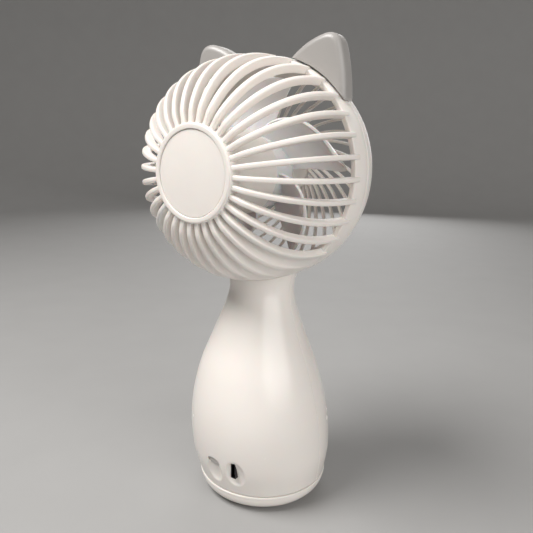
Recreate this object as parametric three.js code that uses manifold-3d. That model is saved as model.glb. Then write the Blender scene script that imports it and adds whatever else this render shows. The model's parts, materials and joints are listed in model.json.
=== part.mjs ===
// Handheld fan with a round cage head, two ears and a bottle-shaped handle.
// Millimetres, +Z up, the air leaves toward -Y, origin under the middle of the foot.
import * as THREE from 'three';
import { mergeVertices } from 'three/addons/utils/BufferGeometryUtils.js';
import Module from 'manifold-3d';

const wasm = await Module();
wasm.setup();

// ---------- driving dimensions ----------
const GAP = 0.3; // clearance between touching pieces
const DEG = Math.PI / 180;
const TURN = 2 * Math.PI;

const SEAM_Z = 9; // joint between the base cap and the handle
const HEAD_Z = SEAM_Z + 140.4; // height of the fan axis
const FRONT_FACE_Y = -13.5; // front plane of the ring round the guard
const PARTING_Y = FRONT_FACE_Y + 12; // joint between the two halves of the cage
const DISC_Y = 50; // rearmost plane of the head

const CAGE_RADIUS = 46.2;
const CAGE_WIDEST_Y = PARTING_Y + 4.7;
const CAGE_LENGTH = DISC_Y - 1.7; // widest plane to the tip of the rear dome curve
const CAGE_POWER = 2.65; // how boxy the dome curve is: 2 is an ellipse
const BAND_BACK_Y = CAGE_WIDEST_Y + 5;
const BAND_WALL = 2.8;

const RIB_COUNT = 34; // also the facets round the large head curves
const RIB_THICK = 2;
const RIB_DEPTH = 4.6;
const RIB_START_Y = BAND_BACK_Y - 2.7;
const RIB_PHASE = 107.7 * DEG;
const BELLY_HALF_ANGLE = 46 * DEG; // closed part of the dome over the neck

const DISC_RADIUS = 18.1;
const DISC_RIM = 2.2;
const CAP_SEAT_Y = DISC_Y - 2.9; // floor of the recess that holds the rear cap
const BOSS_FLOOR_Y = DISC_Y - 4.4;
const BOSS_FRONT_Y = BOSS_FLOOR_Y - 2;

const HANDLE_HEIGHT = 99;
const HANDLE_WALL = 2.2;
const HANDLE_BOW = 4.9; // how far the handle centreline swings to the rear
const HANDLE_BOW_SPAN = 116.8;
// height above the seam and radius
const HANDLE_RADII = [[0, 30.1], [14, 32.4], [33, 31.6], [52.5, 27.2], [70, 20.4], [87, 14.7], [99, 15.8]];
const NECK = { radius: 11.2, bore: 9.2, y: 3.5, low: 86, boreTop: 100.6, high: 104.6 };

const BASE_RADIUS = 30.3;
const BASE_CORNER = 8;
const BASE_BOTTOM_Z = 0.4;
const FOOT_RADIUS = 18.6;
const FOOT_THICK = 1.3;

const HOUSING_RADIUS = 17;
const HOUSING_WALL = 1.8;
const HOUSING_FRONT_Y = 18;
const HOUSING_REAR_Y = BOSS_FRONT_Y - GAP;
const MOTOR_RADIUS = 9.2;
const MOTOR_LENGTH = 20;
const MOTOR_FRONT_Y = HOUSING_FRONT_Y + 2 + GAP;
const SHAFT_RADIUS = 1;

const HUB_RADIUS = 15.4;
const HUB_FRONT_Y = 2;
const HUB_REAR_Y = 17;
const BLADE_COUNT = 5;
const BLADE_TIP_RADIUS = 38;
const BLADE_THICK = 1.2;
const BLADE_PHASE = 107 * DEG;

const SCREW_SHANK = 0.95;
const SCREW_BORE = SCREW_SHANK + GAP;
const PIN_RADIUS = 0.9; // thin end of a board stake
const STAKE_RADIUS = 1.5;
const BOARD_THICK = 1.2;

const CELL_RADIUS = 7.1;
const CELL_LENGTH = 50;
const CELL_AT = new THREE.Vector3(4, 3, 20); // middle of the lower end
const CRADLE_WALL = 1.4;
const CRADLE_END = 0.6; // room beyond each end of the cell

const PORT = { x: -6.8, z: SEAM_Z + 13.4, halfWidth: 1.25, halfHeight: 3.75 };
const LENS = { x: 3.1, z: SEAM_Z + 15, halfWidth: 3.3, halfHeight: 1.8 };
const CHARGE_BOARD_Y = 24;

const BUTTON_HEIGHT = 58; // above the seam
const BUTTON_RADIUS = 5.6;
const BUTTON_STEM = -5.5; // lower end of the button, measured out of the wall

const LEAD_RADIUS = 0.7;
// through the top of the neck, between the two lowest ribs
const LEAD_HOLE = { x: 0.6, y: 9.4, radius: 2.6, low: 99, high: 112 };

// ---------- solid helpers ----------
const WELD = 1e-4; // points closer than this are one point

// merges doubled points, drops empty triangles and turns every face outward
function tidyMesh(geometry) {
  const bare = geometry.clone();
  bare.deleteAttribute('normal');
  bare.deleteAttribute('uv');
  const merged = mergeVertices(bare, WELD);
  const corner = (k) => new THREE.Vector3().fromBufferAttribute(merged.attributes.position, k);
  const index = merged.index.array;
  const triangles = [];
  let volume = 0;
  for (let i = 0; i < index.length; i += 3) {
    const [a, b, c] = index.slice(i, i + 3);
    if (a === b || b === c || a === c) continue;
    triangles.push([a, b, c]);
    volume += corner(a).dot(corner(b).cross(corner(c)));
  }
  const outward = volume < 0 ? triangles.map(([a, b, c]) => [a, c, b]) : triangles;
  merged.setIndex(outward.flat());
  return merged;
}

function toSolid(geometry) {
  const g = tidyMesh(geometry);
  const mesh = new wasm.Mesh({
    numProp: 3,
    vertProperties: new Float32Array(g.attributes.position.array),
    triVerts: new Uint32Array(g.index.array),
  });
  return new wasm.Manifold(mesh);
}

function fromSolid(solid) {
  const mesh = solid.getMesh();
  const g = new THREE.BufferGeometry();
  g.setAttribute('position', new THREE.BufferAttribute(new Float32Array(mesh.vertProperties), 3));
  g.setIndex(Array.from(mesh.triVerts));
  return g;
}

const unite = (first, ...rest) =>
  fromSolid(rest.reduce((whole, g) => whole.add(toSolid(g)), toSolid(first)));
const cut = (first, ...tools) =>
  fromSolid(tools.reduce((whole, g) => whole.subtract(toSolid(g)), toSolid(first)));
const common = (first, second) => fromSolid(toSolid(first).intersect(toSolid(second)));

// ---------- shape helpers ----------
const toVectors = (pairs) => pairs.map(([x, y]) => new THREE.Vector2(x, y));
const repeat = (count, make) => Array.from({ length: count }, (_, i) => make(i));

// closed profile of [radius, height] pairs turned about the Y axis, and the same about Z
const turnY = (profile, around = 36) => tidyMesh(new THREE.LatheGeometry(toVectors(profile), around));
const turnZ = (profile, around = 36) => turnY(profile, around).rotateX(Math.PI / 2);

const rodProfile = (radius, low, high) => [[0, low], [radius, low], [radius, high], [0, high]];
const pipeProfile = (inner, outer, low, high) =>
  [[inner, low], [outer, low], [outer, high], [inner, high], [inner, low]];
const rodY = (radius, low, high, around = 12) => turnY(rodProfile(radius, low, high), around);
const rodZ = (radius, low, high, around = 12) => turnZ(rodProfile(radius, low, high), around);

function box(x0, x1, y0, y1, z0, z1) {
  const g = new THREE.BoxGeometry(x1 - x0, y1 - y0, z1 - z0);
  return g.translate((x0 + x1) / 2, (y0 + y1) / 2, (z0 + z1) / 2);
}

// flat outline of [x, y] pairs given a thickness along +Z
function plate(outline, depth) {
  return new THREE.ExtrudeGeometry(new THREE.Shape(toVectors(outline)), { depth, bevelEnabled: false });
}

function plateAlongX(outlineYZ, x0, x1) {
  const axes = new THREE.Matrix4().set(0, 0, 1, x0, 1, 0, 0, 0, 0, 1, 0, 0, 0, 0, 0, 1);
  return plate(outlineYZ, x1 - x0).applyMatrix4(axes);
}

function roundWire(points, radius, steps) {
  const extrudePath = new THREE.CatmullRomCurve3(points.map((p) => new THREE.Vector3(...p)));
  const section = new THREE.Shape().absarc(0, 0, radius, 0, TURN);
  return new THREE.ExtrudeGeometry(section, { steps, extrudePath, curveSegments: 3 });
}

const fanTriangles = (size) => repeat(size - 2, (i) => [0, i + 1, i + 2]);
const stripTriangles = (size) => repeat(size / 2 - 1, (i) => [
  [i, i + 1, size - 2 - i],
  [i, size - 2 - i, size - 1 - i],
]).flat();

// closed solid through a stack of equal-length rings of [x, y, z]; a ring is convex or,
// for a thin sheet, one row of points followed by the other row backwards
function loft(rings, isSheet = false) {
  const size = rings[0].length;
  const last = (rings.length - 1) * size;
  const index = [];
  for (let start = 0; start < last; start += size) {
    for (let i = 0; i < size; i++) {
      const [a, b] = [start + i, start + ((i + 1) % size)];
      index.push(a, b, b + size, a, b + size, a + size);
    }
  }
  for (const [a, b, c] of isSheet ? stripTriangles(size) : fanTriangles(size)) {
    index.push(a, c, b, last + a, last + b, last + c);
  }
  const g = new THREE.BufferGeometry();
  g.setAttribute('position', new THREE.Float32BufferAttribute(rings.flat(2), 3));
  g.setIndex(index);
  return g;
}

// smooth curve through [position, value] pairs
function smoothThrough(pairs) {
  const slope = pairs.map((_, i) => {
    const [a, b] = [pairs[Math.max(i - 1, 0)], pairs[Math.min(i + 1, pairs.length - 1)]];
    return (b[1] - a[1]) / (b[0] - a[0]);
  });
  return (at) => {
    let i = pairs.findIndex(([x]) => x > at) - 1;
    if (i < 0) i = at < pairs[0][0] ? 0 : pairs.length - 2;
    const width = pairs[i + 1][0] - pairs[i][0];
    const t = (at - pairs[i][0]) / width;
    const rise = t * t * (3 - 2 * t);
    const ease = t * (1 - t);
    return pairs[i][1] + (pairs[i + 1][1] - pairs[i][1]) * rise
      + ease * width * (slope[i] * (1 - t) - slope[i + 1] * t);
  };
}

// ---------- materials and assembly ----------
// colour, roughness and metalness
const LOOKS = {
  whitePlastic: [0xebe6df, 0.3, 0],
  greyPlastic: [0xb2ada7, 0.4, 0],
  darkPlastic: [0x2b2c30, 0.5, 0],
  blade: [0xcfcfcd, 0.3, 0],
  steel: [0xb9bcc0, 0.35, 1],
  bronze: [0xb08d4a, 0.4, 1],
  board: [0x1f5a3a, 0.5, 0],
  cellWrap: [0x2f6fa8, 0.4, 0],
  cradle: [0xd9d5ce, 0.5, 0],
  led: [0xe8e2c4, 0.4, 0],
  lens: [0xa9a6a2, 0.35, 0],
  redCover: [0xa8251f, 0.5, 0],
  blackCover: [0x1c1c1e, 0.5, 0],
  rubber: [0x9c9994, 0.8, 0],
};

const fan = new THREE.Group();
fan.name = 'handheld_fan';

function keep(name, geometry, look) {
  const [color, roughness, metalness] = LOOKS[look];
  const material = new THREE.MeshStandardMaterial({ color, roughness, metalness });
  const mesh = new THREE.Mesh(tidyMesh(geometry), material);
  mesh.name = name;
  fan.add(mesh);
}
const keepOnHead = (name, geometry, look) => keep(name, geometry.translate(0, 0, HEAD_Z), look);

// ---------- head curves, about the head axis ----------
// point of the rear dome: t = 0 at the widest plane, 90 degrees at the tip
function domePoint(t, inset) {
  const r = (CAGE_RADIUS - inset) * Math.cos(t) ** (2 / CAGE_POWER);
  const y = CAGE_WIDEST_Y + (CAGE_LENGTH - inset) * Math.sin(t) ** (2 / CAGE_POWER);
  return [r, y];
}
function domeAngleAtY(y, inset) {
  return Math.asin(((y - CAGE_WIDEST_Y) / (CAGE_LENGTH - inset)) ** (CAGE_POWER / 2));
}
function domeAngleAtRadius(radius, inset) {
  return Math.acos((radius / (CAGE_RADIUS - inset)) ** (CAGE_POWER / 2));
}
// stretch of the dome from an angle to a radius
function domeArc(inset, from, toRadius, steps) {
  const reach = domeAngleAtRadius(toRadius, inset) - from;
  return repeat(steps + 1, (i) => domePoint(from + (reach * i) / steps, inset));
}
const ribArc = (inset, toRadius, steps) =>
  domeArc(inset, domeAngleAtY(RIB_START_Y, inset), toRadius, steps);
const alignedWithRibs = (geometry) => geometry.rotateY(Math.PI / 2 - RIB_PHASE);

// outer side of the front ring: inset from the cage radius, and y
const RING_SIDE = [
  [5.7, FRONT_FACE_Y], [3, FRONT_FACE_Y + 1.9], [1.6, FRONT_FACE_Y + 5.1], [1, FRONT_FACE_Y + 8.5],
];

// the whole head as a solid of revolution, grown by a clearance
function headEnvelope(grow) {
  const guardFront = FRONT_FACE_Y - grow;
  const ringSide = RING_SIDE.map(([inset, y]) => [CAGE_RADIUS - inset + grow, y]);
  const dome = domeArc(-grow, 0, DISC_RADIUS + 1, 7);
  const front = [[0, guardFront - 4], [CAGE_RADIUS - 10.2, guardFront - 2], ...ringSide];
  const parting = [CAGE_RADIUS - 0.3 + grow, PARTING_Y];
  return turnY([...front, parting, ...dome, [0, DISC_Y + 1]], RIB_COUNT);
}

// ---------- rear half of the cage ----------
function rearBand() {
  const outer = CAGE_RADIUS;
  const inner = outer - BAND_WALL;
  return turnY([
    [inner, PARTING_Y], [outer - 0.3, PARTING_Y], [outer - 0.1, PARTING_Y + 2.5],
    [outer - 0.5, PARTING_Y + 6.5], [outer - 1, BAND_BACK_Y], [inner - 0.4, BAND_BACK_Y],
    [inner, PARTING_Y],
  ], RIB_COUNT);
}

function rib(angle) {
  const intoBoss = DISC_RADIUS - 0.8;
  const outline = [...ribArc(0, intoBoss, 6), ...ribArc(RIB_DEPTH, intoBoss, 4).reverse()];
  return plate(outline, RIB_THICK).translate(0, 0, -RIB_THICK / 2).rotateY(-angle);
}

function discBoss() {
  const recess = DISC_RADIUS - DISC_RIM;
  const edge = 0.6;
  return alignedWithRibs(turnY([
    [0, BOSS_FRONT_Y], [DISC_RADIUS - edge, BOSS_FRONT_Y], [DISC_RADIUS, BOSS_FRONT_Y + 1.4],
    [DISC_RADIUS, DISC_Y - edge], [DISC_RADIUS - edge, DISC_Y], [recess, DISC_Y], [recess, CAP_SEAT_Y],
    [recess - 0.8, CAP_SEAT_Y], [recess - 0.8, BOSS_FLOOR_Y], [0, BOSS_FLOOR_Y],
  ], RIB_COUNT));
}

// closed part of the dome over the neck, just under the crests of the ribs
function bellyShell() {
  const intoBoss = DISC_RADIUS - 1;
  const outer = ribArc(1, intoBoss, 6);
  const inner = ribArc(3, intoBoss, 6);
  const whole = alignedWithRibs(turnY([...outer, ...inner.reverse(), outer[0]], RIB_COUNT));
  const far = 2 * CAGE_RADIUS;
  const side = far * Math.tan(BELLY_HALF_ANGLE);
  const wedge = plate([[0, 0], [-side, -far], [side, -far]], far);
  return common(whole, wedge.rotateX(Math.PI / 2).translate(0, far - CAGE_RADIUS / 2, 0));
}

function neckStub() {
  const { radius, y, low, high } = NECK;
  const stub = rodZ(radius, low - HEAD_Z, high - HEAD_Z, 32).translate(0, y, 0);
  const reach = radius - FRONT_FACE_Y;
  const beforeParting = box(-reach, reach, -reach, PARTING_Y, low - HEAD_Z, high + 1 - HEAD_Z);
  return cut(stub, common(headEnvelope(GAP), beforeParting));
}

const EAR_PEG_X = [22.5, 33.5];
const EAR_PEG_Y = 1.5;
const EAR_PEG_RADIUS = 1.2;
function earPegs(side, radius, from, to) {
  return EAR_PEG_X.map((x) => {
    const peg = rodY(radius, from, to).rotateZ(-Math.PI / 2).translate(0, EAR_PEG_Y, 0);
    return peg.rotateY(-Math.acos((side * x) / CAGE_RADIUS));
  });
}

function housingScrewSpots() {
  const reach = 12.9;
  return [90, 210, 330].map((a) => [reach * Math.cos(a * DEG), reach * Math.sin(a * DEG)]);
}
const rodsAt = (spots, radius, low, high) =>
  spots.map(([x, z]) => rodY(radius, low, high).translate(x, 0, z));

function rearGrille() {
  const ribs = repeat(RIB_COUNT, (i) => rib(RIB_PHASE + (i * TURN) / RIB_COUNT));
  const whole = unite(rearBand(), discBoss(), bellyShell(), neckStub(), ...ribs);
  const bore = rodZ(NECK.bore, NECK.low - 1 - HEAD_Z, NECK.boreTop - HEAD_Z, 32).translate(0, NECK.y, 0);
  const { x, y, radius, low, high } = LEAD_HOLE;
  const leadHole = rodZ(radius, low - HEAD_Z, high - HEAD_Z, 20).translate(x, y, 0);
  const throughBoss = [BOSS_FRONT_Y - 0.6, BOSS_FLOOR_Y + 0.6];
  const leadExit = rodY(2.4, ...throughBoss, 16).translate(0, 0, -6.5);
  const pegHoles = [1, -1].flatMap((side) =>
    earPegs(side, EAR_PEG_RADIUS + GAP, CAGE_RADIUS - 6, CAGE_RADIUS + 4));
  const screwHoles = rodsAt(housingScrewSpots(), SCREW_BORE, ...throughBoss);
  return cut(whole, bore, leadHole, leadExit, ...pegHoles, ...screwHoles);
}

function rearCap() {
  const radius = DISC_RADIUS - DISC_RIM - GAP;
  const [seat, face] = [CAP_SEAT_Y + GAP, DISC_Y - 1];
  return turnY([[0, seat], [radius, seat], [radius, face - 0.3], [radius - 0.3, face], [0, face]]);
}

// ---------- front half of the cage ----------
function frontRing() {
  const outer = CAGE_RADIUS;
  const seam = PARTING_Y - GAP;
  const outerSide = RING_SIDE.map(([inset, y]) => [outer - inset, y]).reverse();
  return turnY([
    [outer - BAND_WALL, seam], [outer - 0.35, seam], ...outerSide,
    [outer - 8, FRONT_FACE_Y], [outer - 8, FRONT_FACE_Y + 1.8], [outer - 5.2, FRONT_FACE_Y + 3.9],
    [outer - 3.8, FRONT_FACE_Y + 7.5], [outer - BAND_WALL, seam],
  ], RIB_COUNT);
}

const GUARD = {
  wires: 36, steps: 4, wide: 1.1, deep: 2, hub: 11.5, reach: CAGE_RADIUS - 6.6, sweep: 46 * DEG, dome: 3,
};
const GUARD_FRONT_Y = FRONT_FACE_Y - GUARD.dome;

// wire that spirals from the hub to the ring on a shallow dome
function guardWire(start) {
  const { steps, wide, deep, hub, reach, sweep, dome } = GUARD;
  const points = repeat(steps + 1, (i) => {
    const r = hub - 1 + ((reach - hub + 1) * i) / steps;
    const angle = start + (sweep * Math.log(r / hub)) / Math.log(reach / hub);
    const y = FRONT_FACE_Y + deep / 2 - dome * (1 - (r / reach) ** 2);
    return new THREE.Vector3(r * Math.cos(angle), y, r * Math.sin(angle));
  });
  const rings = points.map((point, i) => {
    const [before, after] = [points[Math.max(i - 1, 0)], points[Math.min(i + 1, steps)]];
    const along = after.clone().sub(before).setY(0).normalize();
    return [[-1, -1], [1, -1], [1, 1], [-1, 1]].map(([side, face]) => [
      point.x - (side * along.z * wide) / 2,
      point.y + (face * deep) / 2,
      point.z + (side * along.x * wide) / 2,
    ]);
  });
  return loft(rings);
}

function frontGrille() {
  const front = GUARD_FRONT_Y;
  const { wires, hub } = GUARD;
  const rim = hub - 1.9;
  const boss = turnY([
    [0, front + 2.4], [hub - 2, front + 2.4], [hub, front + 3], [hub, front + 0.6],
    [hub - 0.4, front + 0.2], [rim, front + 0.2], [rim, front + 1.2], [0, front + 1.2],
  ], 40);
  return unite(frontRing(), boss, ...repeat(wires, (i) => guardWire((i * TURN) / wires)));
}

function frontBadge() {
  const front = GUARD_FRONT_Y;
  const radius = GUARD.hub - 2.2;
  return turnY([
    [0, front + 0.9], [radius, front + 0.9], [radius, front - 0.2], [radius - 0.7, front - 0.7],
    [0, front - 1.1],
  ], 40);
}

// ---------- ears ----------
// pointed leaf cut to the round of the head; its foot is two pegs in the rear band
function ear(side) {
  const bevel = 1.1;
  const frontY = -2.7;
  const thick = 8.5;
  const outline = new THREE.Shape();
  outline.moveTo(12.4, 44.4);
  outline.quadraticCurveTo(18.6, 50.3, 26.2, 52.4);
  outline.quadraticCurveTo(33.4, 54.4, 35, 47.2);
  outline.quadraticCurveTo(37.5, 38, 37.7, 28.2);
  outline.lineTo(25, 30);
  const leaf = new THREE.ExtrudeGeometry(outline, {
    depth: thick - 2 * bevel, curveSegments: 6,
    bevelSize: bevel, bevelThickness: bevel, bevelOffset: -bevel, bevelSegments: 2,
  });
  leaf.rotateX(Math.PI / 2).translate(0, frontY + thick - bevel, 0).scale(side, 1, 1);
  const pegs = earPegs(side, EAR_PEG_RADIUS, CAGE_RADIUS - 3, CAGE_RADIUS + 2.8);
  return unite(cut(leaf, headEnvelope(GAP)), ...pegs);
}

// ---------- motor ----------
const MOTOR_SCREWS = [[-6.2, 0], [6.2, 0]];

function motorHousing() {
  const [front, rear] = [HOUSING_FRONT_Y, HOUSING_REAR_Y];
  const [outer, inner, opening] = [HOUSING_RADIUS, HOUSING_RADIUS - HOUSING_WALL, 3.4];
  const cup = turnY([
    [opening, front], [outer - 1.2, front], [outer, front + 1.2], [outer, rear], [inner, rear],
    [inner, front + 2], [opening, front + 2], [opening, front],
  ]);
  const lugs = rodsAt(housingScrewSpots(), 2.7, rear - 10.3, rear);
  const pilots = rodsAt(housingScrewSpots(), SCREW_BORE, rear - 9.3, rear + 1);
  const motorHoles = rodsAt(MOTOR_SCREWS, SCREW_BORE, front - 1, front + 3);
  const leadNotch = box(-2.6, 2.6, rear - 4, rear + 1, -outer - 1, -outer + 3);
  return cut(unite(cup, ...lugs), ...pilots, ...motorHoles, leadNotch);
}

// slotted screw along Y, the underside of its head at y = 0
function screw(headRadius, headHeight, shankLength) {
  const edge = 0.4;
  const slot = box(-headRadius, headRadius, headHeight - 0.5, headHeight + 1, -0.3, 0.3);
  const body = turnY([
    [0, -shankLength], [0.6, -shankLength], [SCREW_SHANK, -shankLength + 0.8], [SCREW_SHANK, 0],
    [headRadius, 0], [headRadius, headHeight - edge], [headRadius - edge, headHeight], [0, headHeight],
  ], 16);
  return cut(body, slot);
}

function motorParts() {
  const [front, rear] = [MOTOR_FRONT_Y, MOTOR_FRONT_Y + MOTOR_LENGTH];
  const bore = SHAFT_RADIUS + GAP;
  const can = turnY([
    [bore, front], [MOTOR_RADIUS - 0.8, front], [MOTOR_RADIUS, front + 0.8], [MOTOR_RADIUS, rear],
    [bore, rear], [bore, front],
  ]);
  const threads = rodsAt(MOTOR_SCREWS, SCREW_BORE, front - 1, front + 3.4);
  const capRadius = MOTOR_RADIUS - 0.4;
  const endCap = turnY([
    [bore, rear + GAP], [capRadius, rear + GAP], [capRadius, rear + 1.6], [4, rear + 1.6],
    [3, rear + 2.3], [bore, rear + 2.3], [bore, rear + GAP],
  ]);
  keepOnHead('motor_can', cut(can, ...threads), 'steel');
  keepOnHead('motor_end_cap', endCap, 'darkPlastic');
  keepOnHead('motor_bushing', turnY(pipeProfile(bore, 3.1, 16.4, front - GAP), 28), 'bronze');
  keepOnHead('motor_shaft', rodY(SHAFT_RADIUS, HUB_FRONT_Y + 1.9, rear + 1.9, 20), 'steel');
}

function headScrews() {
  MOTOR_SCREWS.forEach(([x, z], i) => {
    const g = screw(1.9, 1.2, 5).rotateX(Math.PI).translate(x, HOUSING_FRONT_Y - GAP, z);
    keepOnHead(`motor_screw_${i + 1}`, g, 'steel');
  });
  housingScrewSpots().forEach(([x, z], i) => {
    const g = screw(1.8, 1.3, 9).translate(x, BOSS_FLOOR_Y + GAP / 3, z);
    keepOnHead(`housing_screw_${i + 1}`, g, 'steel');
  });
}

// ---------- impeller ----------
// u runs hub to tip; v runs from the strongly swept rear edge to the nearly radial front edge
function bladeSurface(u, v) {
  const root = HUB_RADIUS - 0.9;
  const r = root + (BLADE_TIP_RADIUS - root) * u;
  const rearEdge = (18 * u + 46 * u ** 2.2) * DEG;
  const frontEdge = (68 + 4 * u) * DEG;
  const angle = rearEdge + (frontEdge - rearEdge) * v;
  const y = 15.5 - 5 * u - 11.5 * v - 1.2 * Math.sin(Math.PI * v);
  return [r, angle, y];
}

function blade(start) {
  const [across, along] = [5, 5];
  const edgeRow = (u, face) => {
    const tipTrim = u > 0.9 ? 0.2 : 0; // rounds off the two tip corners
    return repeat(across + 1, (j) => {
      const [r, angle, y] = bladeSurface(u, tipTrim + (j / across) * (1 - 2 * tipTrim));
      const offset = (face * BLADE_THICK) / 2;
      return [r * Math.cos(start + angle), y + offset, r * Math.sin(start + angle)];
    });
  };
  const rings = repeat(along + 1, (i) => [...edgeRow(i / along, 1), ...edgeRow(i / along, -1).reverse()]);
  return loft(rings, true);
}

function impeller() {
  const [front, rear, socketRear] = [HUB_FRONT_Y, HUB_REAR_Y, HUB_REAR_Y - 1.4];
  const wall = 1.6;
  const [outer, inner, floor] = [HUB_RADIUS, HUB_RADIUS - wall, HUB_FRONT_Y + wall];
  const [socket, bore] = [3, SHAFT_RADIUS + GAP / 2];
  const hub = turnY([
    [0, front], [outer - 3, front], [outer - 0.9, front + 0.8], [outer, front + 3], [outer, rear],
    [inner, rear], [inner, front + 3.6], [inner - 1.8, floor], [socket, floor], [socket, socketRear],
    [bore, socketRear], [bore, floor], [0, floor],
  ], 40);
  const inside = rodY(inner + 0.2, front + 4, rear + 3, 40);
  const blades = repeat(BLADE_COUNT, (i) => blade(BLADE_PHASE + (i * TURN) / BLADE_COUNT));
  return unite(hub, ...blades.map((g) => cut(g, inside)));
}

// ---------- handle ----------
const handleRadiusAt = smoothThrough(HANDLE_RADII);
const bowAt = (height) => HANDLE_BOW * Math.sin((Math.PI * height) / HANDLE_BOW_SPAN);

function handleSolid(inset, low, high, steps, around) {
  const rings = repeat(steps + 1, (k) => {
    const height = low + ((high - low) * k) / steps;
    const radius = handleRadiusAt(height) - inset;
    return repeat(around, (i) => {
      const a = (i * TURN) / around;
      return [radius * Math.cos(a), bowAt(height) + radius * Math.sin(a), SEAM_Z + height];
    });
  });
  return loft(rings);
}

// everything on one side of the curved joint between the two shells
function handleHalfSpace(side) {
  const steps = 8;
  const beyond = 4;
  const far = 60;
  const [low, high] = [-beyond, HANDLE_HEIGHT + beyond];
  const edge = repeat(steps + 1, (k) => {
    const height = low + ((high - low) * k) / steps;
    return [bowAt(height) + (side * GAP) / 2, SEAM_Z + height];
  });
  return plateAlongX([...edge, [side * far, SEAM_Z + high], [side * far, SEAM_Z + low]], -far, far);
}

function hollowHandle() {
  const outside = handleSolid(0, 0, HANDLE_HEIGHT, 10, 36);
  const inside = handleSolid(HANDLE_WALL, -0.5, HANDLE_HEIGHT + 0.5, 8, 24);
  return cut(outside, inside, headEnvelope(GAP).translate(0, 0, HEAD_Z));
}

// upright screw boss joined to the wall by a web
const BASE_SCREWS = [[9, -12], [9, 12]];
function baseBoss([x, y]) {
  const top = SEAM_Z + 8.5;
  const boss = rodZ(2.8, SEAM_Z - 1, top, 20).translate(x, y, 0);
  const web = box(Math.hypot(x, y) + 1, 29.6, -1, 1, SEAM_Z + 3.6, top).rotateZ(Math.atan2(y, x));
  const pilot = rodZ(SCREW_BORE, SEAM_Z - 2, top - 1.5).translate(x, y, 0);
  return { body: unite(boss, web), pilot };
}

// puts a piece drawn with +Z pointing out of the wall in the place of the button
function placeAtButton(geometry) {
  const front = (height) => bowAt(height) - handleRadiusAt(height);
  const tilt = Math.atan(front(BUTTON_HEIGHT + 0.5) - front(BUTTON_HEIGHT - 0.5));
  return geometry.rotateX(Math.PI / 2 - tilt).translate(0, front(BUTTON_HEIGHT), SEAM_Z + BUTTON_HEIGHT);
}

const SWITCH_BOARD = { halfWidth: 5, halfLength: 10.6, outer: -8.5 };
const SWITCH_STAKES = [[0, 8.7], [0, -8.7]];

function handleFrontShell() {
  const half = common(hollowHandle(), handleHalfSpace(-1));
  const { body, pilot } = baseBoss(BASE_SCREWS[0]);
  const sleeve = turnZ(pipeProfile(BUTTON_RADIUS + 1.3, BUTTON_RADIUS + 2.5, -4.6, -1.4), 28);
  const shoulder = SWITCH_BOARD.outer + GAP;
  const stakes = SWITCH_STAKES.flatMap(([x, y]) => [
    rodZ(STAKE_RADIUS, shoulder, -1.6).translate(x, y, 0),
    rodZ(PIN_RADIUS, shoulder - 2.2, shoulder + 0.6).translate(x, y, 0),
  ]);
  const whole = unite(half, body, ...[sleeve, ...stakes].map(placeAtButton));
  const hole = placeAtButton(rodZ(BUTTON_RADIUS + GAP, -3.6, 6, 28));
  return cut(whole, hole, pilot);
}

function oval(halfX, halfZ, y0, y1) {
  const shape = new THREE.Shape().absellipse(0, 0, halfX, halfZ, 0, TURN);
  const options = { depth: y1 - y0, bevelEnabled: false, curveSegments: 14 };
  return new THREE.ExtrudeGeometry(shape, options).rotateX(Math.PI / 2).translate(0, y1, 0);
}

// y of the rear wall at a given x and z, the inset measured inward from the outer face
function rearWallY(x, z, inset = 0) {
  const radius = handleRadiusAt(z - SEAM_Z) - inset;
  return bowAt(z - SEAM_Z) + Math.sqrt(radius ** 2 - x ** 2);
}

// thumbnail hollow that leads into a socket
function dimple(x, z, halfX, halfZ) {
  const [depth, lift] = [2.6, 1.2];
  const facing = Math.asin(x / handleRadiusAt(z - SEAM_Z));
  const g = new THREE.SphereGeometry(1, 18, 12).scale(halfX, depth, halfZ);
  return g.rotateZ(-facing).translate(x, rearWallY(x, z) + lift, z);
}

const CHARGE_STAKES = [[-11, 15.5], [6, 28]];

function handleRearShell() {
  const half = common(hollowHandle(), handleHalfSpace(1));
  const { body, pilot } = baseBoss(BASE_SCREWS[1]);
  const shoulder = CHARGE_BOARD_Y + BOARD_THICK + GAP;
  const stakes = CHARGE_STAKES.flatMap(([x, z]) => [
    rodY(STAKE_RADIUS, shoulder, rearWallY(x, z, 1.4), 14).translate(x, 0, z),
    rodY(PIN_RADIUS, shoulder - 2.2, shoulder + 0.5, 14).translate(x, 0, z),
  ]);
  const [halfX, halfZ] = [PORT.halfWidth + GAP, PORT.halfHeight + GAP];
  const portHole = box(-halfX, halfX, 26, 40, -halfZ, halfZ).translate(PORT.x, 0, PORT.z);
  const lensHole = oval(LENS.halfWidth + GAP, LENS.halfHeight + GAP, 24, 40).translate(LENS.x, 0, LENS.z);
  const dimples = [dimple(PORT.x - 1, PORT.z - 1.6, 5, 7.3), dimple(LENS.x, LENS.z - 4.6, 4.8, 7.1)];
  return cut(unite(half, body, ...stakes), ...dimples, portHole, lensHole, pilot);
}

// ---------- power button and switch ----------
function powerButton() {
  const [rim, flange, top] = [BUTTON_RADIUS, BUTTON_RADIUS + 0.9, 0.8];
  return turnZ([
    [0, BUTTON_STEM], [1.6, BUTTON_STEM], [1.6, -4.8], [flange, -4.8], [flange, -3.9], [rim, -3.9],
    [rim, top - 0.7], [rim - 0.6, top], [0, top + 0.3],
  ], 28);
}

function switchBody() {
  const base = SWITCH_BOARD.outer + GAP;
  const well = rodZ(1.7, base + 0.3, base + 3.2, 16);
  return cut(box(-3, 3, -3, 3, base, base + 1.6), well);
}

function switchBoard() {
  const { halfWidth, halfLength, outer } = SWITCH_BOARD;
  const board = box(-halfWidth, halfWidth, -halfLength, halfLength, outer - BOARD_THICK, outer);
  const holes = SWITCH_STAKES.map(([x, y]) =>
    rodZ(PIN_RADIUS + GAP, outer - 2.5, outer + 2.5, 14).translate(x, y, 0));
  return cut(board, ...holes);
}

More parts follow.
